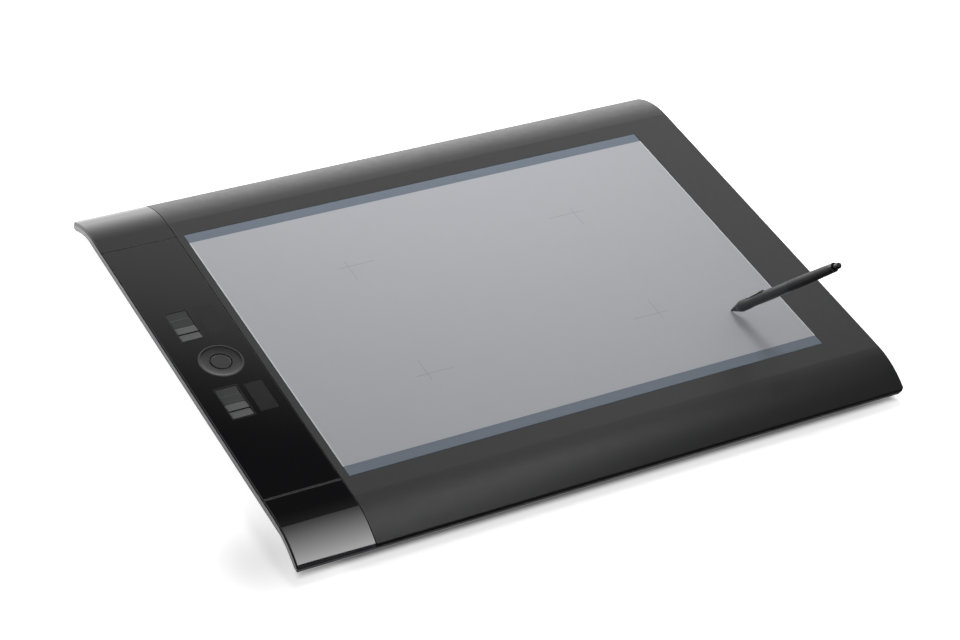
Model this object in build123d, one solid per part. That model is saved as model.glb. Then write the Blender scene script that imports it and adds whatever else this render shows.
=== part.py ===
from build123d import *
import math
import os

# A wide pen tablet: an arched two-part housing, a flush drawing sheet, a gloss control strip with
# eight keys, a touch ring and two small displays, and the pen standing on the sheet.
# Millimetres. X runs to the right, Y to the rear, Z up from the desk. The origin is under the middle.

# Housing
BODY_WIDTH = 623.0
BODY_DEPTH = 462.0
BODY_HEIGHT = 28.0
SLOPE_RUN = 45.5
SLOPE_RADIUS = 83.0
CORNER_RADIUS = 1.8
EDGE_ROUNDING = 0.9
RIM_DEPTH = 8.9
LIP_BOTTOM = 7.6
RIM_WALL = 2.4
RIM_ROUNDING = 1.2
RIGHT_BEVEL = 5.0
TOP_WALL = 3.0
PARTING_GAP = 0.1
LOWER_WALL = 2.2
BELLY_HEIGHT = 2.2
BELLY_FLARE = 1.54
BELLY_CORNER = 16.0
LIP_UNDERSIDE = 6.0
FIT_GAP = 0.3

# Drawing area
SHEET_LEFT_MARGIN = 7.9
SHEET_RIGHT_MARGIN = 50.1
LIGHT_AREA_DEPTH = 307.1
BAND_DEPTH = 11.8
AREA_Y = 1.0
SHEET_THICKNESS = 0.8
SHEET_CHAMFER = 0.2
SHEET_GAP = 0.35
LEDGE_WIDTH = 4.0
SENSOR_MARGIN = 4.0
SENSOR_THICKNESS = 1.6
SHIELD_THICKNESS = 0.6
STACK_GAP = 0.05

# Gloss control strip
STRIP_WIDTH = 72.2
STRIP_THICKNESS = 2.8
STRIP_ROUNDING = 0.6
SEAM_ROUNDING = 0.3
SEAM_GAP = 0.6
LAND_WALL = 2.0
LAND_MARGIN = 3.0
REBATE_DEPTH = 1.8
REBATE_GAP = 0.1

# Keys, touch ring and displays
CONTROL_Y = 1.4
GROUP_INSET = 28.4
GROUP_OFFSET = 51.5
KEYS_PER_GROUP = 4
KEY_PITCH = 9.4
KEY_GAP = 0.7
KEY_RECESS = 0.1
KEY_TILT_DROP = 0.65
KEY_SIDE_GAP = 0.5
KEY_WIDTH = 19.7
KEY_TRAVEL = 0.7
KEY_STOP_GAP = 0.1
KEY_FLANGE = 1.0
KEY_FLANGE_REACH = 0.9
KEY_ROUNDING = 0.25
FRAME_BAR_X = 0.8
FRAME_BAR_Y = 1.3
FRAME_PROUD = 0.15
FRAME_BEVEL = 0.5
KEY_LEDGE = 0.8
RING_INSET = 39.9
RING_RADIUS = 20.3
RING_BORE = 10.0
RING_INNER_DROP = 0.95
RING_RIM = 1.4
RING_EDGE = 0.15
RING_LEDGE = 1.2
TOGGLE_RADIUS = 8.9
TOGGLE_FLANGE = 1.3
TOGGLE_CROWN_RADIUS = 8.4
TOGGLE_EDGE_DROP = 0.2
STEM_RADIUS = 2.0
DISPLAY_INSET = 53.7
DISPLAY_WIDTH = 17.2
DISPLAY_LENGTH = 35.7
DISPLAY_LEDGE = 1.2

# Boards and switches
BOARD_THICKNESS = 1.6
KEY_BOARD_MARGIN_X = 5.4
KEY_BOARD_MARGIN_Y = 12.3
SWITCH_SIZE = 5.2
SWITCH_BODY = 1.4
SWITCH_PLUNGER = 0.6
SWITCH_PLUNGER_RADIUS = 1.2
PRESS_GAP = 0.1
CONTROL_BOARD_INSET = 40.5
CONTROL_BOARD_WIDTH = 24.0
CONTROL_BOARD_OVERHANG = 15.0
CONTROL_POST_INSET = 33.0
CONTROL_BOARD_HEIGHT = 6.4
CHIP_HEIGHT = 1.2
CHIPS = ((-38.0, 12.0, 12.0), (-14.0, 8.0, 6.0), (30.0, 10.0, 16.0))
PORT_INSET = 81.0
PORT_WIDTH = 7.7
PORT_HEIGHT = 3.9
PORT_DEPTH = 9.2
PORT_WALL = 0.4
PORT_CLEARANCE = 0.3
PORT_NOTCH_WIDTH = 13.0
PORT_NOTCH_HEIGHT = 7.5
PORT_NOTCH_WALL = 1.6
FLEX_THICKNESS = 0.3
FLEX_WIDTH = 16.0
FLEX_BEND = 4.0
FLEX_NOTCH = 14.0
FLEX_Y = 66.0

# Fastening and feet
POSTS_PER_SIDE = 4
POST_LEFT_INSET = 39.5
POST_RIGHT_INSET = 43.5
POST_END_INSET = 47.0
POST_RADIUS = 4.0
POST_TOP = 15.0
SCREW_RADIUS = 1.45
SCREW_HEAD_RADIUS = 2.9
SCREW_HEAD_HEIGHT = 2.0
SCREW_ENGAGEMENT = 7.0
SCREW_SEAT_DEPTH = 3.4
BOSS_ROOT = 0.5
RUN_CLEARANCE = 0.05
RIB_THICKNESS = 1.6
RIB_ROWS = 4
RIB_COLUMNS = 5
RIB_INSET_X = 26.4
RIB_INSET_Y = 45.3
CROSS_RIB_DROP = 3.0
FOOT_LENGTH = 40.0
FOOT_WIDTH = 12.0
FOOT_SEAT = 0.9
FOOT_SIDE_INSET = 76.5
FOOT_END_INSET = 28.0

# Pen, measured along its axis from the nib tip
PEN_SIDE_INSET = 57.6
PEN_FRONT_INSET = 67.45
PEN_ELEVATION = 52.5
PEN_HEADING = -76.4
PEN_SEAT_GAP = 0.2
PEN_LENGTH = 156.5
NIB_RADIUS = 0.75
NIB_LENGTH = 31.0
NIB_TRAVEL = 1.2
CONE_START = 2.0
CONE_START_RADIUS = 1.15
CONE_END = 12.3
CONE_END_RADIUS = 4.2
CONE_GUIDE = 4.0
CONE_SPIGOT = 5.0
BULGE_AT = 18.0
BULGE_RADIUS = 5.5
WAIST_AT = 33.0
WAIST_RADIUS = 4.85
GRIP_SWELL_AT = 58.0
GRIP_SWELL_RADIUS = 5.2
GRIP_END = 87.0
GRIP_END_RADIUS = 5.1
BARREL_END_RADIUS = 4.35
CORE_RADIUS = 3.95
CORE_BORE = 3.3
CORE_START = 20.0
SWITCH_FROM = 27.2
SWITCH_TO = 51.2
SWITCH_WIDTH = 3.6
SWITCH_RISE = 1.3
SWITCH_FLOOR = 3.4
SWITCH_SLOT_GAP = 0.35
SWITCH_PIN_HEIGHT = 3.95
SWITCH_PIN_RADIUS = 0.4
SWITCH_PIN_REACH = 0.7
TAIL_CAP_LENGTH = 5.0
TAIL_SPIGOT = 5.0
ERASER_LENGTH = 7.5
ERASER_STEM_RADIUS = 2.0
ERASER_RADIUS = 2.8
ERASER_TRAVEL = 0.6
ERASER_COLLAR = 1.5
COIL_FROM = 17.8
COIL_LENGTH = 9.0
CAPSULE_BACK = 3.5
PEN_BOARD_FROM = 60.0
PEN_BOARD_GAP = 3.0
PEN_BOARD_THICKNESS = 0.8
REAR_COIL_LENGTH = 17.0
REAR_COIL_SETBACK = 9.0

# Derived places
HALF_WIDTH = BODY_WIDTH / 2
HALF_DEPTH = BODY_DEPTH / 2
PLATEAU_HALF = HALF_DEPTH - SLOPE_RUN
ARCH_CENTRE_Z = BODY_HEIGHT - SLOPE_RADIUS
RIM_TOP = TOP_WALL + PARTING_GAP
RIM_BOTTOM_Z = BODY_HEIGHT - RIM_DEPTH
INNER_LEFT = -HALF_WIDTH + RIM_WALL
INNER_RIGHT = HALF_WIDTH - RIM_WALL - RIGHT_BEVEL
INNER_DEPTH = HALF_DEPTH - RIM_WALL
FLOOR_Z = BELLY_HEIGHT + LOWER_WALL
BELLY_X = -RIGHT_BEVEL / 2
SHEET_DEPTH = LIGHT_AREA_DEPTH + 2 * BAND_DEPTH
SHEET_WIDTH = BODY_WIDTH - STRIP_WIDTH - SHEET_LEFT_MARGIN - SHEET_RIGHT_MARGIN
AREA_X = HALF_WIDTH - SHEET_RIGHT_MARGIN - SHEET_WIDTH / 2
PLATE_THICKNESS = TOP_WALL - SHEET_THICKNESS - STACK_GAP
SENSOR_TOP = BODY_HEIGHT - TOP_WALL - STACK_GAP
SHIELD_TOP = SENSOR_TOP - SENSOR_THICKNESS - STACK_GAP
SHIELD_BOTTOM = SHIELD_TOP - SHIELD_THICKNESS
STRIP_RIGHT = -HALF_WIDTH + STRIP_WIDTH
SEAM_HALF = SHEET_DEPTH / 2
PANEL_BOTTOM = BODY_HEIGHT - STRIP_THICKNESS
REBATE_Z = BODY_HEIGHT - REBATE_DEPTH
LAND_TOP = STRIP_THICKNESS + STACK_GAP
GROUP_X = -HALF_WIDTH + GROUP_INSET
RING_X = -HALF_WIDTH + RING_INSET
DISPLAY_X = -HALF_WIDTH + DISPLAY_INSET
GROUP_OPENING_X = KEY_WIDTH + 2 * KEY_SIDE_GAP
GROUP_OPENING_Y = KEYS_PER_GROUP * KEY_PITCH - KEY_GAP + 2 * KEY_SIDE_GAP
FRAME_X = GROUP_OPENING_X + 2 * FRAME_BAR_X
FRAME_Y = GROUP_OPENING_Y + 2 * FRAME_BAR_Y
KEY_FLANGE_TOP = PANEL_BOTTOM - KEY_STOP_GAP
KEY_UNDERSIDE = KEY_FLANGE_TOP - KEY_FLANGE
SWITCH_HEIGHT = SWITCH_BODY + SWITCH_PLUNGER
KEY_BOARD_TOP = KEY_UNDERSIDE - KEY_TRAVEL - PRESS_GAP - SWITCH_HEIGHT
KEY_BOARD_LEFT = GROUP_X - FRAME_X / 2 - KEY_BOARD_MARGIN_X
KEY_BOARD_RIGHT = DISPLAY_X + DISPLAY_WIDTH / 2 + KEY_BOARD_MARGIN_X
KEY_BOARD_X = (KEY_BOARD_LEFT + KEY_BOARD_RIGHT) / 2
KEY_BOARD_WIDTH = KEY_BOARD_RIGHT - KEY_BOARD_LEFT
KEY_BOARD_LENGTH = 2 * (GROUP_OFFSET + FRAME_Y / 2 + KEY_BOARD_MARGIN_Y)
POST_PITCH = (BODY_WIDTH - POST_LEFT_INSET - POST_RIGHT_INSET) / (POSTS_PER_SIDE - 1)
POST_X = [-HALF_WIDTH + POST_LEFT_INSET + index * POST_PITCH for index in range(POSTS_PER_SIDE)]
POST_Y = HALF_DEPTH - POST_END_INSET
POST_FOOT_Z = BELLY_HEIGHT + SCREW_SEAT_DEPTH
CONTROL_BOARD_X = -HALF_WIDTH + CONTROL_BOARD_INSET
PORT_Y = HALF_DEPTH - PORT_INSET
CONTROL_BOARD_LENGTH = 2 * (PORT_Y + CONTROL_BOARD_OVERHANG)
PORT_FACE_X = CONTROL_BOARD_X - CONTROL_BOARD_WIDTH / 2 - PORT_DEPTH
PORT_Z = CONTROL_BOARD_HEIGHT + BOARD_THICKNESS + PORT_HEIGHT / 2
PEN_X = AREA_X + SHEET_WIDTH / 2 - PEN_SIDE_INSET
PEN_Y = AREA_Y - SHEET_DEPTH / 2 + PEN_FRONT_INSET
TAIL_CAP_END = PEN_LENGTH - ERASER_LENGTH
BARREL_END = TAIL_CAP_END - TAIL_CAP_LENGTH
REAR_COIL_FROM = BARREL_END - REAR_COIL_SETBACK - REAR_COIL_LENGTH
PEN_BOARD_LENGTH = REAR_COIL_FROM - PEN_BOARD_GAP - PEN_BOARD_FROM
GROUPS = {"rear": CONTROL_Y + GROUP_OFFSET, "front": CONTROL_Y - GROUP_OFFSET}


def block(x_span, y_span, z_span):
    """A box given by its limits along each axis."""
    size = [high - low for low, high in (x_span, y_span, z_span)]
    centre = [(high + low) / 2 for low, high in (x_span, y_span, z_span)]
    return Pos(*centre) * Box(*size)


def centred(x, y, width, depth, z_span):
    """A box centred on a place in plan."""
    return block((x - width / 2, x + width / 2), (y - depth / 2, y + depth / 2), z_span)


def rod(x, y, radius, z_from, z_to):
    """An upright cylinder."""
    return Pos(x, y, (z_from + z_to) / 2) * Cylinder(radius, z_to - z_from)


def arch_height(offset, y):
    """Height of the arched surface that lies `offset` below the top surface."""
    run = max(0.0, abs(y) - PLATEAU_HALF)
    return ARCH_CENTRE_Z + math.sqrt((SLOPE_RADIUS - offset) ** 2 - run**2)


def arch_edges(offset, y_from, y_to, floor):
    """The arched line from front to rear, flat where it would fall below `floor`."""
    drop = max(floor, 0.0) - ARCH_CENTRE_Z
    reach = PLATEAU_HALF + math.sqrt((SLOPE_RADIUS - offset) ** 2 - drop**2)
    breaks = [-reach, -PLATEAU_HALF, PLATEAU_HALF, reach]
    stations = [y_from] + [y for y in breaks if y_from < y < y_to] + [y_to]

    def spot(y):
        return (y, floor if abs(y) >= reach else arch_height(offset, y))

    edges = []
    for low, high in zip(stations, stations[1:]):
        middle = (low + high) / 2
        if PLATEAU_HALF < abs(middle) < reach:
            edges.append(ThreePointArc(spot(low), spot(middle), spot(high)))
        else:
            edges.append(Line(spot(low), spot(high)))
    return edges


def arch_prism(top, bottom, x_span, y_span, floor=0.0):
    """The layer between two offsets below the top surface, run along X."""
    upper = arch_edges(top, *y_span, 0.0)
    lower = arch_edges(bottom, *y_span, floor)
    ends = [Line(lower[0] @ 0, upper[0] @ 0), Line(lower[-1] @ 1, upper[-1] @ 1)]
    face = make_face(upper + lower + ends)
    return extrude(Plane.YZ.offset(x_span[0]) * face, amount=x_span[1] - x_span[0])


def arch_block(top, x_span, y_span, base):
    """Everything from a level base up to an offset below the top surface."""
    upper = arch_edges(top, *y_span, 0.0)
    start, end = (y_span[0], base), (y_span[1], base)
    sides = [Line(start, upper[0] @ 0), Line(start, end), Line(end, upper[-1] @ 1)]
    face = make_face(upper + sides)
    return extrude(Plane.YZ.offset(x_span[0]) * face, amount=x_span[1] - x_span[0])


def plan_prism(radius):
    """The plan outline of the housing as a tall upright prism."""
    outline = RectangleRounded(BODY_WIDTH, BODY_DEPTH, radius)
    return extrude(outline, amount=2 * BODY_HEIGHT)


def belly(inset, base, top):
    """The flared underside between two heights, drawn in by `inset` all round."""
    half_x = (BODY_WIDTH - RIGHT_BEVEL) / 2 - (RIM_BOTTOM_Z - BELLY_HEIGHT) * BELLY_FLARE
    half_y = HALF_DEPTH - LIP_UNDERSIDE - (LIP_BOTTOM - BELLY_HEIGHT) * BELLY_FLARE

    def outline(z):
        spread = (z - BELLY_HEIGHT) * BELLY_FLARE - inset
        width = 2 * (half_x + spread)
        depth = 2 * (half_y + spread)
        return Pos(BELLY_X, 0, z) * RectangleRounded(width, depth, BELLY_CORNER)

    return loft([outline(base), outline(top)], ruled=True)


def lies_on_edge(edge):
    """Whether an edge bounds the top surface at the front, the rear or the right."""
    spot = edge @ 0.5
    on_top = abs(spot.Z - arch_height(0, spot.Y)) < 0.01
    at_side = spot.X > HALF_WIDTH - CORNER_RADIUS - 0.01
    at_end = abs(spot.Y) > HALF_DEPTH - CORNER_RADIUS - 0.01
    return on_top and (at_side or at_end)


def rim_underside(rim, at_right):
    """The edges that bound the rim's underside at its right end, or at its other three sides."""
    def chosen(spot):
        outside = spot.X < -HALF_WIDTH + 0.01 or abs(spot.Y) > HALF_DEPTH - 0.01
        right = spot.X > HALF_WIDTH - 0.01
        level = max(LIP_BOTTOM, arch_height(RIM_DEPTH, spot.Y))
        return spot.Z < level + RIM_ROUNDING / 2 and (right if at_right else outside and not right)

    return [e for e in rim.edges() if chosen(e @ 0.5)]


def board_post_spots():
    """Plan places of the posts under the control board."""
    reach = CONTROL_BOARD_LENGTH / 2 - CONTROL_POST_INSET
    return [(CONTROL_BOARD_X, side * reach) for side in (-1, 0, 1)]


def key_board_post_spots():
    """Plan places of the screws that hold the key board to the strip's centre panel."""
    reach_x = KEY_BOARD_WIDTH / 2 - SCREW_HEAD_RADIUS - 0.2
    reach_y = KEY_BOARD_LENGTH / 2 - SCREW_HEAD_RADIUS - 0.5
    return [(KEY_BOARD_X + i * reach_x, CONTROL_Y + j * reach_y) for i in (-1, 1) for j in (-1, 1)]


def key_spots():
    """Key names with their group side and place along Y, from the rear key to the front key."""
    spots = []
    for side, centre in GROUPS.items():
        for index in range(KEYS_PER_GROUP):
            along = (KEYS_PER_GROUP - 1) / 2 - index
            spots.append((f"key_{side}_{index + 1}", centre, centre + along * KEY_PITCH))
    return spots


def port_block(side):
    """The walls round one cable port, before its notch is cut."""
    reach = PORT_NOTCH_WIDTH / 2 + PORT_NOTCH_WALL
    low = PORT_Z - PORT_NOTCH_HEIGHT / 2 - PORT_NOTCH_WALL
    high = PORT_Z + PORT_NOTCH_HEIGHT / 2 + PORT_NOTCH_WALL
    inner_x = PORT_FACE_X - PORT_CLEARANCE + PORT_NOTCH_WALL
    y = side * PORT_Y
    return block((-HALF_WIDTH, inner_x), (y - reach, y + reach), (low, high))


def port_cuts(side):
    """The plug notch and the receptacle's hole of one cable port."""
    y = side * PORT_Y
    notch_z = (PORT_Z - PORT_NOTCH_HEIGHT / 2, PORT_Z + PORT_NOTCH_HEIGHT / 2)
    notch_y = (y - PORT_NOTCH_WIDTH / 2, y + PORT_NOTCH_WIDTH / 2)
    notch = block((-BODY_WIDTH, PORT_FACE_X - PORT_CLEARANCE), notch_y, notch_z)
    hole_y = PORT_WIDTH + 2 * PORT_CLEARANCE
    hole_z = PORT_HEIGHT / 2 + PORT_CLEARANCE
    hole = block((-BODY_WIDTH, PORT_FACE_X + PORT_DEPTH), (y - hole_y / 2, y + hole_y / 2),
                 (PORT_Z - hole_z, PORT_Z + hole_z))
    return notch + hole


def ribs():
    """The grid on the floor that carries the shield plate. Cross ribs stop short for the flex."""
    top = SHIELD_BOTTOM - STACK_GAP
    reach_x = SHEET_WIDTH / 2 - RIB_INSET_X
    reach_y = SHEET_DEPTH / 2 - RIB_INSET_Y
    grid = []
    for row in range(RIB_ROWS):
        y = reach_y * (2 * row / (RIB_ROWS - 1) - 1)
        grid.append(centred(AREA_X, y, 2 * reach_x + RIB_THICKNESS, RIB_THICKNESS, (FLOOR_Z - 1, top)))
    for column in range(RIB_COLUMNS):
        x = AREA_X + reach_x * (2 * column / (RIB_COLUMNS - 1) - 1)
        span = (FLOOR_Z - 1, top - CROSS_RIB_DROP)
        grid.append(centred(x, 0, RIB_THICKNESS, 2 * reach_y + RIB_THICKNESS, span))
    return grid


def foot_spots():
    """Plan places of the rubber feet."""
    reach_x, reach_y = HALF_WIDTH - FOOT_SIDE_INSET, HALF_DEPTH - FOOT_END_INSET
    return [(i * reach_x, j * reach_y) for i in (-1, 0, 1) for j in (-1, 1)]


def pad(x, y, length, width, z_from, z_to):
    """A pad with round ends."""
    outline = Pos(x, y, z_from) * SlotOverall(length, width)
    return extrude(outline, amount=z_to - z_from)


def lower_casing():
    """The moulded lower casing: arched rim, flared belly, ribs, screw posts and cable ports."""
    full_x = (-HALF_WIDTH, HALF_WIDTH)
    full_y = (-HALF_DEPTH, HALF_DEPTH)
    rim = arch_prism(RIM_TOP, RIM_DEPTH, full_x, full_y, LIP_BOTTOM)
    rim = chamfer(rim_underside(rim, at_right=True), length=RIGHT_BEVEL)
    rim = fillet(rim_underside(rim, at_right=False), RIM_ROUNDING)
    under = belly(0, BELLY_HEIGHT, RIM_BOTTOM_Z)
    outer = rim + (under & arch_block(RIM_TOP, full_x, full_y, 0))
    outer = outer & plan_prism(CORNER_RADIUS)
    wall_shift = LOWER_WALL * math.sqrt(1 + BELLY_FLARE**2)
    inner_y = (-INNER_DEPTH, INNER_DEPTH)
    inner_x = (INNER_LEFT, INNER_RIGHT)
    rim_space = arch_prism(RIM_TOP - 1, RIM_DEPTH - LOWER_WALL, inner_x, inner_y, LIP_BOTTOM + LOWER_WALL)
    belly_space = belly(wall_shift, FLOOR_Z, BODY_HEIGHT)
    cavity = rim_space + (belly_space & block(inner_x, inner_y, (0, BODY_HEIGHT)))
    shell = outer - cavity
    shell += [port_block(side) & outer for side in (-1, 1)]
    shell += ribs()
    for x in POST_X:
        for side in (-1, 1):
            shell += rod(x, side * POST_Y, POST_RADIUS, FLOOR_Z - 1, POST_TOP)
    for x, y in board_post_spots():
        shell += rod(x, y, POST_RADIUS - 1, FLOOR_Z - 1, CONTROL_BOARD_HEIGHT - STACK_GAP)
    for side in (-1, 1):
        shell -= port_cuts(side)
    for x in POST_X:
        for side in (-1, 1):
            y = side * POST_Y
            shell -= rod(x, y, SCREW_RADIUS + FIT_GAP, 0, POST_TOP + 1)
            shell -= rod(x, y, SCREW_HEAD_RADIUS + FIT_GAP, 0, POST_FOOT_Z)
    for x, y in board_post_spots():
        shell -= rod(x, y, SCREW_RADIUS + RUN_CLEARANCE, FLOOR_Z - 1.2, CONTROL_BOARD_HEIGHT)
    for x, y in foot_spots():
        length, width = FOOT_LENGTH + 2 * REBATE_GAP, FOOT_WIDTH + 2 * REBATE_GAP
        shell -= pad(x, y, length, width, 0, BELLY_HEIGHT + FOOT_SEAT)
    return shell


def upper_casing():
    """The matte upper casing: the bezel with its sheet window, and the land under the strip."""
    left = STRIP_RIGHT + SEAM_GAP
    full_y = (-HALF_DEPTH, HALF_DEPTH)
    bezel = arch_prism(0, TOP_WALL, (left, HALF_WIDTH), full_y) & plan_prism(CORNER_RADIUS)
    bezel = fillet([e for e in bezel.edges() if lies_on_edge(e)], EDGE_ROUNDING)
    inner_y = (-INNER_DEPTH + FIT_GAP, INNER_DEPTH - FIT_GAP)
    land = arch_prism(LAND_TOP, LAND_TOP + LAND_WALL, (INNER_LEFT + FIT_GAP, left), inner_y)
    step = arch_prism(1, LAND_TOP + LAND_WALL, (left, left + LAND_WALL), inner_y)
    casing = bezel + land + step
    for x in POST_X:
        roof = (LAND_TOP + LAND_WALL if x < left else TOP_WALL) - BOSS_ROOT
        for side in (-1, 1):
            casing += rod(x, side * POST_Y, POST_RADIUS, POST_TOP + FIT_GAP, BODY_HEIGHT - roof)
    window_x, window_y = SHEET_WIDTH + 2 * SHEET_GAP, SHEET_DEPTH + 2 * SHEET_GAP
    seat_z = BODY_HEIGHT - SHEET_THICKNESS - STACK_GAP
    casing -= centred(AREA_X, AREA_Y, window_x, window_y, (seat_z, BODY_HEIGHT + 1))
    opening_x, opening_y = window_x - 2 * LEDGE_WIDTH, window_y - 2 * LEDGE_WIDTH
    casing -= centred(AREA_X, AREA_Y, opening_x, opening_y, (0, BODY_HEIGHT + 1))
    land_x = KEY_BOARD_WIDTH + 2 * FIT_GAP
    land_y = KEY_BOARD_LENGTH + 2 * LAND_MARGIN
    casing -= centred(KEY_BOARD_X, CONTROL_Y, land_x, land_y, (0, BODY_HEIGHT + 1))
    for x in POST_X:
        for side in (-1, 1):
            top = POST_TOP + FIT_GAP + SCREW_ENGAGEMENT + 0.5
            casing -= rod(x, side * POST_Y, SCREW_RADIUS + RUN_CLEARANCE, 0, top)
    return casing


def round_strip(piece):
    """A strip piece with its top edges rounded, more along the outside than along the seams."""
    top = [e for e in piece.edges() if abs((e @ 0.5).Z - arch_height(0, (e @ 0.5).Y)) < 0.01]
    outside = [e for e in top if (e @ 0.5).X < -HALF_WIDTH + CORNER_RADIUS
               or abs((e @ 0.5).Y) > HALF_DEPTH - CORNER_RADIUS]
    piece = fillet(outside, STRIP_ROUNDING)
    top = [e for e in piece.edges() if abs((e @ 0.5).Z - arch_height(0, (e @ 0.5).Y)) < 0.01]
    at_seam = [e for e in top if abs((e @ 0.5).X - STRIP_RIGHT) < 0.01
               or abs(abs((e @ 0.5).Y - AREA_Y) - SEAM_HALF) < SEAM_GAP]
    return fillet(at_seam, SEAM_ROUNDING)


def strip_cap(side):
    """One gloss end cap of the control strip, following the arch."""
    seam = AREA_Y + side * SEAM_HALF + side * SEAM_GAP / 2
    y_span = (seam, HALF_DEPTH) if side > 0 else (-HALF_DEPTH, seam)
    cap = arch_prism(0, STRIP_THICKNESS, (-HALF_WIDTH, STRIP_RIGHT), y_span) & plan_prism(CORNER_RADIUS)
    return round_strip(cap)


def strip_centre_panel():
    """The flat gloss panel with rebated openings for key frames, ring and display lenses."""
    seam = SEAM_HALF - SEAM_GAP / 2
    panel = block((-HALF_WIDTH, STRIP_RIGHT), (AREA_Y - seam, AREA_Y + seam), (PANEL_BOTTOM, BODY_HEIGHT))
    panel = round_strip(panel)
    rebate = (REBATE_Z, BODY_HEIGHT + 1)
    through = (0, BODY_HEIGHT + 1)
    clear = 2 * REBATE_GAP
    for y in GROUPS.values():
        panel -= centred(GROUP_X, y, FRAME_X + clear, FRAME_Y + clear, rebate)
        ledge_x, ledge_y = FRAME_X - 2 * KEY_LEDGE, FRAME_Y - 2 * KEY_LEDGE
        panel -= centred(GROUP_X, y, ledge_x, ledge_y, through)
        panel -= centred(DISPLAY_X, y, DISPLAY_WIDTH + clear, DISPLAY_LENGTH + clear, rebate)
        inner_x, inner_y = DISPLAY_WIDTH - 2 * DISPLAY_LEDGE, DISPLAY_LENGTH - 2 * DISPLAY_LEDGE
        panel -= centred(DISPLAY_X, y, inner_x, inner_y, through)
    panel -= rod(RING_X, CONTROL_Y, RING_RADIUS + REBATE_GAP, REBATE_Z, BODY_HEIGHT + 1)
    panel -= rod(RING_X, CONTROL_Y, RING_RADIUS - RING_LEDGE, 0, BODY_HEIGHT + 1)
    for x, y in key_board_post_spots():
        panel += rod(x, y, SCREW_HEAD_RADIUS - 0.5, KEY_BOARD_TOP + STACK_GAP, PANEL_BOTTOM)
        panel -= rod(x, y, SCREW_RADIUS + RUN_CLEARANCE, 0, PANEL_BOTTOM)
    return panel


def key_frame(y):
    """The frame round one group of keys, bevelled inside its front and rear bars."""
    z_span = (REBATE_Z, BODY_HEIGHT + FRAME_PROUD)
    frame = centred(GROUP_X, y, FRAME_X, FRAME_Y, z_span)
    frame -= centred(GROUP_X, y, GROUP_OPENING_X, GROUP_OPENING_Y, (0, BODY_HEIGHT + 1))
    top_edges = frame.edges().group_by(Axis.Z)[-1]
    ends = [e for e in top_edges if abs(abs((e @ 0.5).Y - y) - GROUP_OPENING_Y / 2) < 0.01]
    return chamfer(ends, length=FRAME_BEVEL)


def key(group_y, y):
    """One key: a cap whose top falls towards the middle of its group, on a flange that stops it."""
    low, high = y - (KEY_PITCH - KEY_GAP) / 2, y + (KEY_PITCH - KEY_GAP) / 2
    outer = BODY_HEIGHT - KEY_RECESS
    inner = outer - KEY_TILT_DROP
    low_top, high_top = (outer, inner) if y < group_y else (inner, outer)
    corners = [(low, KEY_UNDERSIDE), (high, KEY_UNDERSIDE), (high, high_top), (low, low_top)]
    side = Plane.YZ.offset(GROUP_X - KEY_WIDTH / 2) * make_face(Polyline(*corners, close=True))
    cap = extrude(side, amount=KEY_WIDTH)
    top = cap.faces().sort_by(Axis.Z)[-1]
    cap = fillet(top.edges(), KEY_ROUNDING)
    flange_x = KEY_WIDTH + 2 * (KEY_FLANGE_REACH + KEY_SIDE_GAP)
    flange = centred(GROUP_X, y, flange_x, KEY_PITCH - KEY_GAP, (KEY_UNDERSIDE, KEY_FLANGE_TOP))
    return cap + flange


def turned(points, arcs=()):
    """A solid of revolution about Z from (radius, height) corners. `arcs` maps the index of a
    segment's start to the point that the segment bows through."""
    bows = dict(arcs)
    edges = []
    for index, start in enumerate(points):
        end = points[(index + 1) % len(points)]
        if index in bows:
            edges.append(ThreePointArc(start, bows[index], end))
        else:
            edges.append(Line(start, end))
    return revolve(Plane.XZ * make_face(edges), axis=Axis.Z)


def touch_ring():
    """The dished touch ring, seated on the panel's ledge."""
    thickness = REBATE_DEPTH
    rim = RING_RADIUS - RING_RIM
    middle = ((rim + RING_BORE) / 2, thickness - 3 * RING_INNER_DROP / 4)
    profile = [(RING_BORE, 0), (RING_RADIUS, 0), (RING_RADIUS, thickness - RING_EDGE),
               (RING_RADIUS - RING_EDGE, thickness), (rim, thickness), (RING_BORE, thickness - RING_INNER_DROP)]
    return Pos(RING_X, CONTROL_Y, REBATE_Z) * turned(profile, {4: middle})


def toggle_button():
    """The round button inside the ring, with its stop flange and stem."""
    top = BODY_HEIGHT - RING_INNER_DROP
    flange_top = REBATE_Z - KEY_STOP_GAP
    flange_bottom = flange_top - KEY_FLANGE
    stem_end = KEY_BOARD_TOP + SWITCH_HEIGHT + PRESS_GAP + KEY_TRAVEL
    profile = [(0, stem_end), (STEM_RADIUS, stem_end), (STEM_RADIUS, flange_bottom),
               (RING_BORE + TOGGLE_FLANGE, flange_bottom), (RING_BORE + TOGGLE_FLANGE, flange_top),
               (TOGGLE_RADIUS, flange_top), (TOGGLE_RADIUS, top - TOGGLE_EDGE_DROP),
               (TOGGLE_CROWN_RADIUS, top), (0, top)]
    return Pos(RING_X, CONTROL_Y, 0) * turned(profile)


def display_lens(y):
    """The smoked lens over one display."""
    return centred(DISPLAY_X, y, DISPLAY_WIDTH, DISPLAY_LENGTH, (REBATE_Z, BODY_HEIGHT))


def display_modules():
    """The two display modules, standing on the key board under their lenses."""
    modules = []
    for y in GROUPS.values():
        width = DISPLAY_WIDTH - 2 * DISPLAY_LEDGE - FIT_GAP
        length = DISPLAY_LENGTH - 2 * DISPLAY_LEDGE - FIT_GAP
        modules.append(centred(DISPLAY_X, y, width, length, (KEY_BOARD_TOP, REBATE_Z - STACK_GAP)))
    return Compound(modules)


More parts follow.
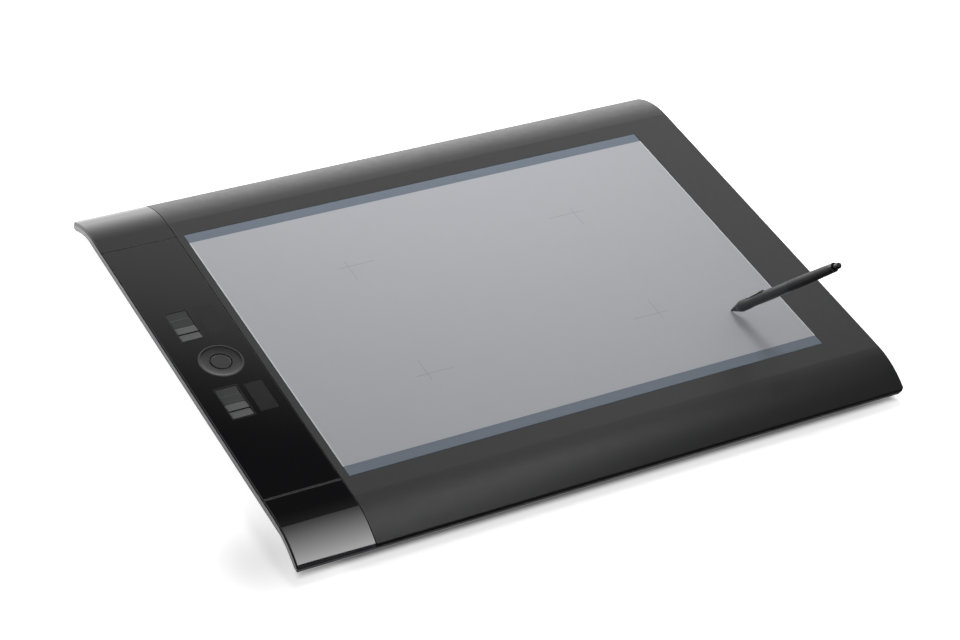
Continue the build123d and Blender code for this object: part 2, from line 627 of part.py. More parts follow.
def key_board():
    """The board under the strip's centre panel."""
    span = (KEY_BOARD_TOP - BOARD_THICKNESS, KEY_BOARD_TOP)
    board = centred(KEY_BOARD_X, CONTROL_Y, KEY_BOARD_WIDTH, KEY_BOARD_LENGTH, span)
    for x, y in key_board_post_spots():
        board -= rod(x, y, SCREW_RADIUS + FIT_GAP, 0, BODY_HEIGHT)
    return board


def tact_switch(x, y):
    """One push switch on the key board."""
    body_top = KEY_BOARD_TOP + SWITCH_BODY
    body = centred(x, y, SWITCH_SIZE, SWITCH_SIZE, (KEY_BOARD_TOP, body_top))
    return body + rod(x, y, SWITCH_PLUNGER_RADIUS, body_top, body_top + SWITCH_PLUNGER)


def key_switches():
    """The nine push switches under the keys and the toggle button."""
    spots = [(GROUP_X, y) for _, _, y in key_spots()] + [(RING_X, CONTROL_Y)]
    return Compound([tact_switch(x, y) for x, y in spots])


def control_board():
    """The long board that carries the processor and both cable receptacles."""
    span = (CONTROL_BOARD_HEIGHT, CONTROL_BOARD_HEIGHT + BOARD_THICKNESS)
    board = centred(CONTROL_BOARD_X, 0, CONTROL_BOARD_WIDTH, CONTROL_BOARD_LENGTH, span)
    for x, y in board_post_spots():
        board -= rod(x, y, SCREW_RADIUS + FIT_GAP, 0, BODY_HEIGHT)
    return board


def control_chips():
    """The processor and its neighbours on the control board."""
    top = CONTROL_BOARD_HEIGHT + BOARD_THICKNESS
    return Compound([centred(CONTROL_BOARD_X, y, width, depth, (top, top + CHIP_HEIGHT))
                     for y, width, depth in CHIPS])


def port_shells():
    """The two metal cable receptacles, open towards the left."""
    shells = []
    base = CONTROL_BOARD_HEIGHT + BOARD_THICKNESS
    for side in (-1, 1):
        y = side * PORT_Y
        x_span = (PORT_FACE_X, PORT_FACE_X + PORT_DEPTH + CONTROL_BOARD_WIDTH / 4)
        y_span = (y - PORT_WIDTH / 2, y + PORT_WIDTH / 2)
        shell = block(x_span, y_span, (base, base + PORT_HEIGHT))
        inner_y = (y_span[0] + PORT_WALL, y_span[1] - PORT_WALL)
        inner_z = (base + PORT_WALL, base + PORT_HEIGHT - PORT_WALL)
        shell -= block((x_span[0] - 1, x_span[0] + PORT_DEPTH), inner_y, inner_z)
        tongue_z = (PORT_Z - PORT_WALL, PORT_Z + PORT_WALL)
        tongue_y = (y - PORT_WIDTH / 4, y + PORT_WIDTH / 4)
        shell += block((x_span[0] + 1.5, x_span[0] + PORT_DEPTH + 1), tongue_y, tongue_z)
        shells.append(shell)
    return Compound(shells)


def flex(points, y, width):
    """A flat flexible cable: a thin ribbon of constant thickness along an X-Z path."""
    path = FilletPolyline(*points, radius=FLEX_THICKNESS * 4)
    face = make_face(offset(path, amount=FLEX_THICKNESS / 2, kind=Kind.ARC).edges())
    return extrude(Plane.XZ.offset(-y - width / 2) * face, amount=width)


def sensor_flex():
    """The ribbon from the sensor board's underside, through the shield's notch, to the control board."""
    half = FLEX_THICKNESS / 2
    edge_x = AREA_X - SHEET_WIDTH / 2 - SENSOR_MARGIN
    level = SENSOR_TOP - SENSOR_THICKNESS - STACK_GAP - half
    board_top = CONTROL_BOARD_HEIGHT + BOARD_THICKNESS + STACK_GAP + half
    points = [(edge_x + FLEX_NOTCH - 1, level), (edge_x + FLEX_BEND, level), (edge_x + FLEX_BEND, board_top),
              (CONTROL_BOARD_X + CONTROL_BOARD_WIDTH / 4, board_top)]
    return flex(points, -FLEX_Y, FLEX_WIDTH)


def key_flex():
    """The ribbon from the key board's underside down to the control board."""
    half = FLEX_THICKNESS / 2
    level = KEY_BOARD_TOP - BOARD_THICKNESS - STACK_GAP - half
    board_top = CONTROL_BOARD_HEIGHT + BOARD_THICKNESS + STACK_GAP + half
    near_x = CONTROL_BOARD_X + CONTROL_BOARD_WIDTH / 2 + 4.0
    points = [(CONTROL_BOARD_X, level), (near_x, level), (near_x, board_top),
              (CONTROL_BOARD_X + CONTROL_BOARD_WIDTH / 4, board_top)]
    return flex(points, FLEX_Y, FLEX_WIDTH)


def drawing_sheet():
    """The textured drawing sheet, flush with the bezel."""
    span = (BODY_HEIGHT - SHEET_THICKNESS, BODY_HEIGHT)
    sheet = centred(AREA_X, AREA_Y, SHEET_WIDTH, SHEET_DEPTH, span)
    return chamfer(sheet.edges().group_by(Axis.Z)[-1], length=SHEET_CHAMFER)


def surface_plate():
    """The stiff plate inside the bezel's ledge, under the drawing sheet."""
    shrink = 2 * (LEDGE_WIDTH - SHEET_GAP + STACK_GAP + REBATE_GAP)
    top = BODY_HEIGHT - SHEET_THICKNESS - STACK_GAP
    return centred(AREA_X, AREA_Y, SHEET_WIDTH - shrink, SHEET_DEPTH - shrink, (top - PLATE_THICKNESS, top))


def sensor_layer(top, thickness):
    """One plate of the stack under the drawing area."""
    width, depth = SHEET_WIDTH + 2 * SENSOR_MARGIN, SHEET_DEPTH + 2 * SENSOR_MARGIN
    return centred(AREA_X, AREA_Y, width, depth, (top - thickness, top))


def shield_plate():
    """The shield under the sensor board, notched at its left edge for the sensor's ribbon."""
    edge_x = AREA_X - SHEET_WIDTH / 2 - SENSOR_MARGIN
    notch = centred(edge_x, -FLEX_Y, 2 * FLEX_NOTCH, FLEX_WIDTH + 2, (0, BODY_HEIGHT))
    return sensor_layer(SHIELD_TOP, SHIELD_THICKNESS) - notch


def screw(x, y, head_z, tip_z):
    """An upright screw, head at `head_z`, pointing up to `tip_z`, with a crossed drive recess."""
    shaft = rod(x, y, SCREW_RADIUS, head_z, tip_z)
    head = rod(x, y, SCREW_HEAD_RADIUS, head_z - SCREW_HEAD_HEIGHT, head_z)
    cut_z = (head_z - SCREW_HEAD_HEIGHT, head_z - SCREW_HEAD_HEIGHT / 2)
    cross = centred(x, y, 3.2, 0.7, cut_z) + centred(x, y, 0.7, 3.2, cut_z)
    return head + shaft - cross


def casing_screws():
    """The screws that come up through the lower casing into the upper one."""
    tip = POST_TOP + FIT_GAP + SCREW_ENGAGEMENT
    return Compound([screw(x, side * POST_Y, POST_FOOT_Z, tip) for x in POST_X for side in (-1, 1)])


def down_screw(x, y, seat_z, tip_z):
    """A screw that points down, its head resting on `seat_z`."""
    return rod(x, y, SCREW_RADIUS, tip_z, seat_z) + rod(x, y, SCREW_HEAD_RADIUS, seat_z, seat_z + 1.4)


def board_screws():
    """The screws of the key board, from below, and of the control board, from above."""
    key_seat = KEY_BOARD_TOP - BOARD_THICKNESS
    screws = []
    for x, y in key_board_post_spots():
        head = rod(x, y, SCREW_HEAD_RADIUS, key_seat - 1.4, key_seat)
        screws.append(head + rod(x, y, SCREW_RADIUS, key_seat, PANEL_BOTTOM - 0.3))
    for x, y in board_post_spots():
        seat = CONTROL_BOARD_HEIGHT + BOARD_THICKNESS
        screws.append(down_screw(x, y, seat, FLOOR_Z - 1))
    return Compound(screws)


def rubber_feet():
    """Six rubber feet, seated in shallow pockets of the belly."""
    return Compound([pad(x, y, FOOT_LENGTH, FOOT_WIDTH, 0, BELLY_HEIGHT + FOOT_SEAT)
                     for x, y in foot_spots()])


def pen_plane():
    """The pen's own frame: Z along the pen from its nib tip, X towards the side switch."""
    elevation, heading = math.radians(PEN_ELEVATION), math.radians(PEN_HEADING)
    axis = Vector(math.cos(elevation) * math.cos(heading), math.cos(elevation) * math.sin(heading),
                  math.sin(elevation))
    upper_side = Vector(0, 0, 1) - axis * axis.Z
    contact = Vector(PEN_X, PEN_Y, BODY_HEIGHT + PEN_SEAT_GAP)
    origin = contact + Vector(0, 0, NIB_RADIUS) - axis * NIB_RADIUS
    return Plane(origin=origin, x_dir=upper_side, z_dir=axis)


def grip_radius(station):
    """Radius of the grip's surface, straight between its waist and its swell."""
    share = (station - WAIST_AT) / (GRIP_SWELL_AT - WAIST_AT)
    return WAIST_RADIUS + share * (GRIP_SWELL_RADIUS - WAIST_RADIUS)


def pen_nib():
    """The nib: a thin rod with a round tip, held in the pressure capsule."""
    profile = [(0, 0), (NIB_RADIUS, NIB_RADIUS), (NIB_RADIUS, NIB_LENGTH), (0, NIB_LENGTH)]
    bow = (NIB_RADIUS * math.sin(math.pi / 4), NIB_RADIUS * (1 - math.cos(math.pi / 4)))
    return turned(profile, {0: bow})


def pen_front_cone():
    """The black nose cone with the nib's guide bore and a spigot into the barrel."""
    guide = NIB_RADIUS + RUN_CLEARANCE
    spigot = CORE_BORE - RUN_CLEARANCE
    end = CONE_END + CONE_SPIGOT
    profile = [(guide, CONE_START), (CONE_START_RADIUS, CONE_START), (CONE_END_RADIUS, CONE_END),
               (spigot, CONE_END), (spigot, end), (spigot - 0.8, end),
               (spigot - 0.8, CONE_END), (guide, CONE_START + CONE_GUIDE)]
    return turned(profile)


def pen_grip():
    """The soft grip sleeve, bulged at the front and drawn in behind, with the switch slot."""
    bore = CORE_RADIUS + RUN_CLEARANCE
    front_bore = CORE_BORE + RUN_CLEARANCE
    profile = [(front_bore, CONE_END), (CONE_END_RADIUS, CONE_END), (BULGE_RADIUS, BULGE_AT),
               (WAIST_RADIUS, WAIST_AT), (GRIP_SWELL_RADIUS, GRIP_SWELL_AT), (GRIP_END_RADIUS, GRIP_END),
               (bore, GRIP_END), (bore, CORE_START - REBATE_GAP), (front_bore, CORE_START - REBATE_GAP)]
    bows = {1: (CONE_END_RADIUS + 0.95, CONE_END + 2.9), 2: (BULGE_RADIUS - 0.15, BULGE_AT + 6.0)}
    sleeve = turned(profile, bows)
    reach = SWITCH_WIDTH / 2 + SWITCH_SLOT_GAP
    slot = block((0, 2 * BULGE_RADIUS), (-reach, reach), (SWITCH_FROM - 0.5, SWITCH_TO + 0.5))
    pin_reach = SWITCH_WIDTH / 2 + SWITCH_PIN_REACH + RUN_CLEARANCE
    pin = switch_pin(SWITCH_PIN_RADIUS + RUN_CLEARANCE, pin_reach)
    return sleeve - slot - pin


def switch_pin(radius, reach):
    """The pivot of the side switch, across the pen."""
    middle = (SWITCH_FROM + SWITCH_TO) / 2
    return Pos(SWITCH_PIN_HEIGHT, 0, middle) * Rot(90, 0, 0) * Cylinder(radius, 2 * reach)


def pen_switch():
    """The rocker of the side switch, flush at its front and raised at its rear."""
    front, rear = grip_radius(SWITCH_FROM), grip_radius(SWITCH_TO)
    middle = (SWITCH_FROM + SWITCH_TO) / 2
    side = make_face(Polyline((SWITCH_FLOOR, SWITCH_FROM + 1.0), (SWITCH_FLOOR, SWITCH_TO - 1.0),
                              (rear, SWITCH_TO), (rear + SWITCH_RISE, SWITCH_TO - 1.2),
                              (rear + SWITCH_RISE * 0.45, middle + 4.0), (front, SWITCH_FROM), close=True))
    bar = extrude(Plane.XZ.offset(-SWITCH_WIDTH / 2) * side, amount=SWITCH_WIDTH)
    return bar + switch_pin(SWITCH_PIN_RADIUS, SWITCH_WIDTH / 2 + SWITCH_PIN_REACH)


def pen_barrel():
    """The barrel tube: a thin core inside the grip, then the tapered rear barrel."""
    step = GRIP_END + REBATE_GAP
    profile = [(CORE_BORE, CORE_START), (CORE_RADIUS, CORE_START), (CORE_RADIUS, step),
               (GRIP_END_RADIUS, step), (BARREL_END_RADIUS, BARREL_END), (CORE_BORE, BARREL_END)]
    middle = (step + BARREL_END) / 2
    bow = ((GRIP_END_RADIUS + BARREL_END_RADIUS) / 2 + 0.12, middle)
    tube = turned(profile, {3: bow})
    reach = SWITCH_WIDTH / 2 + SWITCH_SLOT_GAP
    window = block((0, 2 * BULGE_RADIUS), (-reach, reach), (SWITCH_FROM - 0.5, SWITCH_TO + 0.5))
    return tube - window


def pen_tail_cap():
    """The gloss cap in the barrel's end, bored for the eraser's stem."""
    bore = ERASER_STEM_RADIUS + RUN_CLEARANCE
    spigot = CORE_BORE - RUN_CLEARANCE
    start = BARREL_END + STACK_GAP
    profile = [(bore, start - TAIL_SPIGOT), (spigot, start - TAIL_SPIGOT), (spigot, start),
               (BARREL_END_RADIUS, start), (BARREL_END_RADIUS, TAIL_CAP_END - 0.4),
               (BARREL_END_RADIUS - 0.4, TAIL_CAP_END), (bore, TAIL_CAP_END)]
    return turned(profile)


def pen_eraser():
    """The eraser: a round head on a stem that slides in the tail cap and a collar that keeps it there."""
    head_start = TAIL_CAP_END + ERASER_TRAVEL + PRESS_GAP
    dome_start = PEN_LENGTH - ERASER_RADIUS
    collar_top = BARREL_END - TAIL_SPIGOT - PRESS_GAP
    stem_start = collar_top - ERASER_COLLAR
    profile = [(0, stem_start), (ERASER_RADIUS, stem_start), (ERASER_RADIUS, collar_top),
               (ERASER_STEM_RADIUS, collar_top), (ERASER_STEM_RADIUS, head_start),
               (ERASER_RADIUS, head_start + 0.4), (ERASER_RADIUS, dome_start), (0, PEN_LENGTH)]
    bow_angle = math.pi / 4
    bow = (ERASER_RADIUS * math.cos(bow_angle), dome_start + ERASER_RADIUS * math.sin(bow_angle))
    return turned(profile, {6: bow})


def pen_tube(outer, inner, start, length):
    """A plain tube inside the barrel."""
    return Pos(0, 0, start + length / 2) * (Cylinder(outer, length) - Cylinder(inner, length))


def pen_front_coil():
    """The coil round the nib, behind the nose cone."""
    return pen_tube(CORE_BORE - REBATE_GAP, NIB_RADIUS + FIT_GAP, COIL_FROM, COIL_LENGTH)


def pen_capsule():
    """The pressure capsule that the nib pushes against."""
    start = COIL_FROM + COIL_LENGTH + FIT_GAP
    seat = NIB_LENGTH + NIB_TRAVEL + FIT_GAP
    body = pen_tube(CORE_BORE - REBATE_GAP, NIB_RADIUS + FIT_GAP, start, seat - start)
    back = Pos(0, 0, seat + CAPSULE_BACK / 2) * Cylinder(CORE_BORE - REBATE_GAP, CAPSULE_BACK)
    top = block((SWITCH_FLOOR - 1.2, 2 * CORE_RADIUS), (-CORE_RADIUS, CORE_RADIUS), (0, PEN_LENGTH))
    return body + back - top


def pen_board():
    """The narrow board inside the barrel."""
    width = 2 * (CORE_BORE - 0.5) * 0.97
    centre = PEN_BOARD_FROM + PEN_BOARD_LENGTH / 2
    return Pos(0, 0, centre) * Box(PEN_BOARD_THICKNESS, width, PEN_BOARD_LENGTH)


def pen_rear_coil():
    """The coil that senses the eraser end."""
    return pen_tube(CORE_BORE - REBATE_GAP, ERASER_STEM_RADIUS, REAR_COIL_FROM, REAR_COIL_LENGTH)


def place_pen(piece):
    """A pen piece moved from the pen's own frame to the tablet's."""
    return pen_plane().location * piece


def build_nodes():
    """Every piece under its node name."""
    nodes = {
        "lower_casing": lower_casing(),
        "upper_casing": upper_casing(),
        "drawing_sheet": drawing_sheet(),
        "surface_plate": surface_plate(),
        "sensor_board": sensor_layer(SENSOR_TOP, SENSOR_THICKNESS),
        "shield_plate": shield_plate(),
        "strip_rear_cap": strip_cap(1),
        "strip_centre_panel": strip_centre_panel(),
        "strip_front_cap": strip_cap(-1),
        "touch_ring": touch_ring(),
        "toggle_button": toggle_button(),
        "display_modules": display_modules(),
        "key_board": key_board(),
        "key_switches": key_switches(),
        "control_board": control_board(),
        "control_chips": control_chips(),
        "port_shells": port_shells(),
        "sensor_flex": sensor_flex(),
        "key_flex": key_flex(),
        "casing_screws": casing_screws(),
        "board_screws": board_screws(),
        "rubber_feet": rubber_feet(),
    }
    for side, y in GROUPS.items():
        nodes[f"key_frame_{side}"] = key_frame(y)
        nodes[f"display_lens_{side}"] = display_lens(y)
    for name, group_y, y in key_spots():
        nodes[name] = key(group_y, y)
    pen_pieces = (pen_nib, pen_front_cone, pen_grip, pen_switch, pen_barrel, pen_tail_cap, pen_eraser,
                  pen_front_coil, pen_capsule, pen_board, pen_rear_coil)
    for make in pen_pieces:
        nodes[make.__name__] = place_pen(make())
    return nodes


os.makedirs("parts", exist_ok=True)
for node, shape in build_nodes().items():
    export_step(shape, f"parts/{node}.step")
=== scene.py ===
import math

import bmesh
import bpy
from mathutils import Matrix, Vector


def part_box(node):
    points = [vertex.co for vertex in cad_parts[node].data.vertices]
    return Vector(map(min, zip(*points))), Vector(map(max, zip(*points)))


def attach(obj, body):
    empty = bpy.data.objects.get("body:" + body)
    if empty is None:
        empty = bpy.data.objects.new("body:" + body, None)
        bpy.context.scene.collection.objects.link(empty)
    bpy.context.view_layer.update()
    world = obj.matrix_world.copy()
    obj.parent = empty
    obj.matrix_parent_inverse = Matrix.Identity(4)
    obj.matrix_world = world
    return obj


# Looks for a wide pen tablet: a matte arched housing, a grey drawing sheet, a gloss control strip
# and a pen standing on the sheet. Metres, in the frame of the solids.

MM = 0.001

# Camera, fitted to the photograph's frame. Place in millimetres, angles in degrees
IMAGE_WIDTH = 960
CAMERA_AZIMUTH = -36.7
CAMERA_ELEVATION = 40.2
CAMERA_ROLL = 11.4
CAMERA_TARGET = (-24.1, 2.2, 5.1)
CAMERA_DISTANCE = 2367.8
CAMERA_FOCAL_PIXELS = 2589.7
CAMERA_CENTRE_OFFSET = (-16.6, -3.1)
SENSOR_WIDTH = 36.0
CLIP_NEAR = 0.05
CLIP_FAR = 50.0

# Drawing sheet and the marks printed on it
BAND_DEPTH = 11.8 * MM
# Width of the painted highlight along the sheet's side edges
SHEET_EDGE_HIGHLIGHT_WIDTH = 1.2 * MM
MARK_LEFT_INSET = 123.4 * MM
MARK_RIGHT_INSET = 125.0 * MM
MARK_SIDE_OFFSET = 76.4 * MM
MARK_LONG_ARM = 27.5 * MM
MARK_LONG_TAIL = 11.0 * MM
MARK_LEG = 19.0 * MM
MARK_LEG_TAIL = 8.0 * MM
MARK_WIDTH = 0.7 * MM
MARK_HEIGHT = 0.03 * MM

# Colours, linear
SHEET_COLOUR = (0.364, 0.373, 0.397)
# Painted highlight along the sheet's side edges
SHEET_EDGE_HIGHLIGHT_COLOUR = (0.55, 0.555, 0.58)
BAND_COLOUR = (0.118, 0.147, 0.185)
MARK_COLOUR = (0.29, 0.29, 0.315)
BEZEL_COLOUR = (0.0095, 0.0095, 0.0099)
RIM_COLOUR = (0.14, 0.14, 0.142)
GLOSS_COLOUR = (0.0054, 0.0054, 0.0062)
KEY_COLOUR = (0.052, 0.053, 0.054)
TRIM_COLOUR = (0.02, 0.02, 0.02)
RING_COLOUR = (0.009, 0.009, 0.0095)
TOGGLE_COLOUR = (0.022, 0.022, 0.023)
LENS_COLOUR = (0.006, 0.006, 0.007)
PEN_COLOUR = (0.012, 0.012, 0.0125)
GRIP_COLOUR = (0.013, 0.013, 0.0135)
BLACK_COLOUR = (0.008, 0.008, 0.0085)
FOOT_COLOUR = (0.03, 0.03, 0.03)
STEEL_COLOUR = (0.45, 0.45, 0.46)
SHIELD_COLOUR = (0.7, 0.7, 0.72)
PLATE_COLOUR = (0.35, 0.35, 0.35)
BOARD_COLOUR = (0.02, 0.12, 0.05)
FLEX_COLOUR = (0.45, 0.22, 0.04)
COPPER_COLOUR = (0.55, 0.25, 0.12)
FLOOR_COLOUR = (0.92, 0.92, 0.92)
FLOOR_MIRROR_COLOUR = (0.05, 0.05, 0.05)

# Surface detail: blobs of noise per metre, how far values drift as a share, and depth of relief
PLAIN_IOR = 1.5
PLAIN_SPECULAR = 0.5
CLOUD_BLOBS = 35.0
CLOUD_DETAIL = 4.0
CLOUD_SPAN = (0.3, 0.7)
SMUDGE_BLOBS = 140.0
COLOUR_DRIFT = 0.02
SHEET_COLOUR_DRIFT = 0.005
ROUGHNESS_DRIFT = 0.05
RELIEF_DETAIL = 3.0
RIPPLE_BLOBS = 400.0
RIPPLE_STRENGTH = 0.04
RIPPLE_DEPTH = 0.01 * MM
GRAIN_BLOBS = 2500.0
GRAIN_STRENGTH = 0.25
GRAIN_DEPTH = 0.05 * MM
SATIN_STRENGTH = 0.06
SHEET_GRAIN_BLOBS = 3500.0
SHEET_GRAIN_STRENGTH = 0.2
SHEET_GRAIN_DEPTH = 0.04 * MM

# Finishes that change over their own surface, and light and shade painted onto it. Spans are
# distances or directions between which a value fades
SHEET_ROUGHNESS = 0.62
MARK_ROUGHNESS = 0.6
GLOSS_ROUGHNESS = 0.04
SEAM_ROUGHNESS = 0.55
SEAM_HALF_WIDTH = 0.7 * MM
# Painted light: the strip's front wall, between these normal directions, is paler by this factor
FRONT_WALL = (-0.95, -0.8)
FRONT_WALL_PAINTED_LIGHT = 9.0
RING_ROUGHNESS = 0.42
RING_LIP = (15.8 * MM, 17.6 * MM)
RING_LIP_ROUGHNESS = 0.22
RING_EDGE = (18.6 * MM, 18.9 * MM)
# Painted highlight: the ring's outer edge is this many times paler
RING_EDGE_PAINTED_HIGHLIGHT = 2.6
# Painted shade in the gaps round the toggle: depth below each top where it starts, its fade and
# its level
RING_GAP_DEPTH = 1.1 * MM
TOGGLE_ROUGHNESS = 0.3
TOGGLE_GAP_DEPTH = 0.3 * MM
GAP_FADE = 0.25 * MM
GAP_SHADE = 0.1

# Other finishes: name, colour, roughness, further settings, and the nodes that wear it
KEY_NODES = tuple(f"key_{group}_{index}" for group in ("rear", "front") for index in range(1, 5))
METAL = {"metallic": 1.0}
GRAINED_FINISHES = (
    ("bezel_matte", BEZEL_COLOUR, 0.42, {}, ("upper_casing",)),
    ("rim_matte", RIM_COLOUR, 0.5, {}, ("lower_casing",)),
    ("key_satin", KEY_COLOUR, 0.22, {"strength": 0.08}, KEY_NODES),
    ("foot_rubber", FOOT_COLOUR, 0.75, {}, ("rubber_feet",)),
    ("pen_rubber", GRIP_COLOUR, 0.3, {}, ("pen_grip",)),
    ("pen_satin", PEN_COLOUR, 0.4, {"ior": 1.4, "strength": 0.1}, ("pen_barrel",)),
)
SMOOTH_FINISHES = (
    ("key_trim", TRIM_COLOUR, 0.15, {}, ("key_frame_rear", "key_frame_front")),
    ("lens_smoke", LENS_COLOUR, 0.2, {"ior": 1.47}, ("display_lens_rear", "display_lens_front")),
    ("display_dark", BLACK_COLOUR, 0.2, {}, ("display_modules",)),
    ("plate_grey", PLATE_COLOUR, 0.6, {}, ("surface_plate",)),
    ("board_mask", BOARD_COLOUR, 0.4, {}, ("sensor_board", "key_board", "control_board",
                                           "pen_board")),
    ("chip_black", BLACK_COLOUR, 0.5, {}, ("control_chips", "key_switches")),
    ("shield_metal", SHIELD_COLOUR, 0.35, METAL, ("shield_plate",)),
    ("screw_steel", STEEL_COLOUR, 0.3, METAL, ("casing_screws", "board_screws", "port_shells",
                                               "pen_capsule")),
    ("flex_film", FLEX_COLOUR, 0.35, {}, ("sensor_flex", "key_flex")),
    ("coil_copper", COPPER_COLOUR, 0.35, METAL, ("pen_front_coil", "pen_rear_coil")),
    ("pen_black", BLACK_COLOUR, 0.25, {"ior": 1.35}, ("pen_front_cone", "pen_nib")),
    ("pen_gloss", BLACK_COLOUR, 0.1, {}, ("pen_tail_cap", "pen_eraser", "pen_switch")),
)

# Floor. It is lifted towards white for the camera, less near the tablet's front left corner and
# along its front edge, which paints soft shadows there. Mirrored, it glows behind the tablet only
FLOOR_SIZE = 12.0
FLOOR_LIFT = 0.66
# Painted shadows: the lift in the middle of the corner shade, its place and reach; the contact
# shade along the front edge
SHADE_LIFT = 0.26
SHADE_PLACE = (-0.335, -0.2, 0.0)
SHADE_RADIUS = 0.075
CONTACT_SHADE = 0.08
CONTACT_FRONT = (-0.2335, -0.2250)
CONTACT_SIDE = (0.300, 0.312)
CONTACT_UNDER = (-0.2255, -0.2225)
FLOOR_REAR = (0.20, 0.26)
FLOOR_REAR_GLOW = 2.0
FLOOR_FAR = (0.3, 0.7)
FLOOR_FAR_SHARE = 1.2

# Room: brightness of the rear wall by the height of the direction, from level to straight up
WALL_PEAK = 2.7
WALL_STOPS = (
    (0.0, 2.6), (0.06, 2.7), (0.15, 2.6), (0.25, 2.33), (0.36, 1.8), (0.46, 1.4), (0.556, 1.1),
    (0.630, 0.93), (0.645, 0.79), (0.655, 0.63), (0.666, 0.38), (0.674, 0.19), (0.688, 0.04),
    (0.70, 0.035), (0.77, 0.12), (0.83, 0.2), (1.0, 0.3),
)
WALL_SIDE = (-0.1, 0.5)
SIDE_LEVEL = 0.2
FRONT_GLOW = 1.0
FRONT_BAND = (0.1, 0.55)

# Lamps and cards
LAMP_PLACE = (0.35, 0.75, 1.4)
LAMP_TARGET = (0.12, 0.4, 0.0)
LAMP_SIZE = (0.7, 0.7)
LAMP_POWER = 2.6
LAMP_SPREAD = 60
FILL_PLACE = (-1.35, 1.2, 0.13)
FILL_TARGET = (-0.25, 0.0, 0.03)
FILL_SIZE = (0.7, 0.16)
FILL_POWER = 40.0
CAP_CARD_PLACE = (0.19, -0.232, 1.05)
CAP_CARD_SIZE = (0.2, 0.975)
CAP_CARD_REAR = 1.0
CAP_CARD_FRONT = 9.2
CAP_CARD_POWER = 1.35
SLOPE_CARD_PLACE = (0.49, -0.04, 1.05)
SLOPE_CARD_TARGET = (-0.1, -0.2, 0.02)
SLOPE_CARD_SIZE = (0.36, 0.22)
SLOPE_CARD_GLOW = 5.0
FLAG_PLACE = (0.95, -0.05, 0.75)
FLAG_TARGET = (0.2, -0.15, 0.02)
FLAG_SIZE = (0.9, 1.1)
FLAG_GLOW = 0.12
EDGE_CARD_PLACE = (-1.27, 0.92, 0.70)
EDGE_CARD_TARGET = (-0.31, 0.0, 0.02)
EDGE_CARD_SIZE = (0.6, 0.6)
EDGE_CARD_GLOW = 1.5


class Net:
    """The node tree of a material or of the world, with short ways to add to it."""

    def __init__(self, owner):
        self.nodes = owner.node_tree.nodes
        self.links = owner.node_tree.links

    def shader(self, name):
        """A socket of the material's shader."""
        return self.nodes["Principled BSDF"].inputs[name]

    def feed(self, name):
        """What is linked to a socket of the material's shader."""
        return self.shader(name).links[0].from_socket

    def put(self, value, socket):
        """Gives a socket a number or colour, or links another socket to it."""
        if isinstance(value, bpy.types.NodeSocket):
            self.links.new(value, socket)
        else:
            socket.default_value = value

    def math(self, operation, first, second=0.0):
        """One arithmetic node on two values."""
        node = self.nodes.new("ShaderNodeMath")
        node.operation = operation
        self.put(first, node.inputs[0])
        self.put(second, node.inputs[1])
        return node.outputs["Value"]

    def fade(self, source, span, start, end, interpolation="SMOOTHSTEP"):
        """A value that goes from start to end while its source crosses a span."""
        node = self.nodes.new("ShaderNodeMapRange")
        node.interpolation_type = interpolation
        sockets = ("From Min", "From Max", "To Min", "To Max")
        for socket, value in zip(sockets, (*span, start, end)):
            node.inputs[socket].default_value = value
        self.links.new(source, node.inputs["Value"])
        return node.outputs["Result"]

    def axis(self, kind, axis):
        """One axis of a place ("Object") or of a direction ("Normal", the world's "Generated")."""
        place = self.nodes.new("ShaderNodeTexCoord")
        split = self.nodes.new("ShaderNodeSeparateXYZ")
        self.links.new(place.outputs[kind], split.inputs["Vector"])
        return split.outputs[axis]

    def rays(self, *kinds):
        """For each named kind of ray a socket that is 1 for such a ray and otherwise 0."""
        path = self.nodes.new("ShaderNodeLightPath")
        return [path.outputs[kind] for kind in kinds]

    def noise(self, blobs, detail):
        """Noise over the surface."""
        place = self.nodes.new("ShaderNodeTexCoord")
        noise = self.nodes.new("ShaderNodeTexNoise")
        noise.inputs["Scale"].default_value = blobs
        noise.inputs["Detail"].default_value = detail
        self.links.new(place.outputs["Object"], noise.inputs["Vector"])
        return noise.outputs["Fac"]

    def cloud(self, blobs, level, drift):
        """A value that drifts over the surface around a level."""
        return self.fade(self.noise(blobs, CLOUD_DETAIL), CLOUD_SPAN, level - drift, level + drift)

    def tinted(self, colour, share):
        """A colour scaled by a value."""
        scaled = self.nodes.new("ShaderNodeVectorMath")
        scaled.operation = "SCALE"
        self.put(colour, scaled.inputs[0])
        self.links.new(share, scaled.inputs["Scale"])
        return scaled.outputs["Vector"]


def new_material(name, colour, roughness, metallic=0.0, ior=PLAIN_IOR):
    """A material with one constant shader, and its net."""
    material = bpy.data.materials.new(name)
    material.use_nodes = True
    net = Net(material)
    net.put((*colour, 1.0), net.shader("Base Color"))
    net.put(roughness, net.shader("Roughness"))
    net.put(metallic, net.shader("Metallic"))
    net.put(ior, net.shader("IOR"))
    return material, net


def add_bump(net, blobs, strength, depth):
    """Fine relief as a bump on the shader's normal."""
    bump = net.nodes.new("ShaderNodeBump")
    bump.inputs["Strength"].default_value = strength
    bump.inputs["Distance"].default_value = depth
    net.links.new(net.noise(blobs, RELIEF_DETAIL), bump.inputs["Height"])
    net.links.new(bump.outputs["Normal"], net.shader("Normal"))


